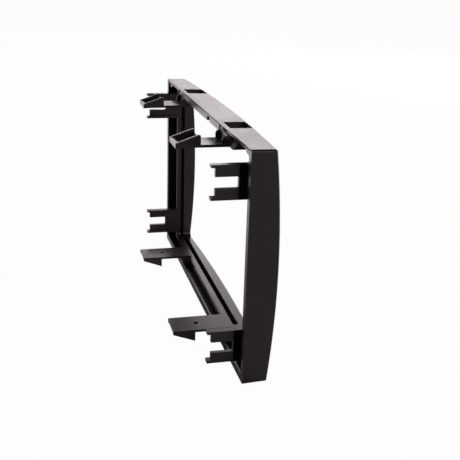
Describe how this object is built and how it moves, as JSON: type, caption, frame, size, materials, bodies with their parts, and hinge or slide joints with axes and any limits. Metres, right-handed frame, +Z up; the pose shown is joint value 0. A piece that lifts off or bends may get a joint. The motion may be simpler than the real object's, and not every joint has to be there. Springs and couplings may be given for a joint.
{
  "type": "car radio mounting frame",
  "caption": "Moulded plastic frame with a crowned bezel that holds a car radio in a dashboard, with barbed hooks, screw tabs and slotted side forks at the rear.",
  "frame": {"origin": "centre of the radio opening, in the plane of the rear rim", "axes": "+X along the width, +Y out of the rear towards the mounting arms, +Z up; the bezel faces -Y"},
  "size_m": [0.202, 0.0407, 0.108],
  "materials": {
    "frame_plastic": "satin black moulded plastic"
  },
  "bodies": {
    "root": {"mounting_frame": "frame_plastic"}
  },
  "joints": []
}
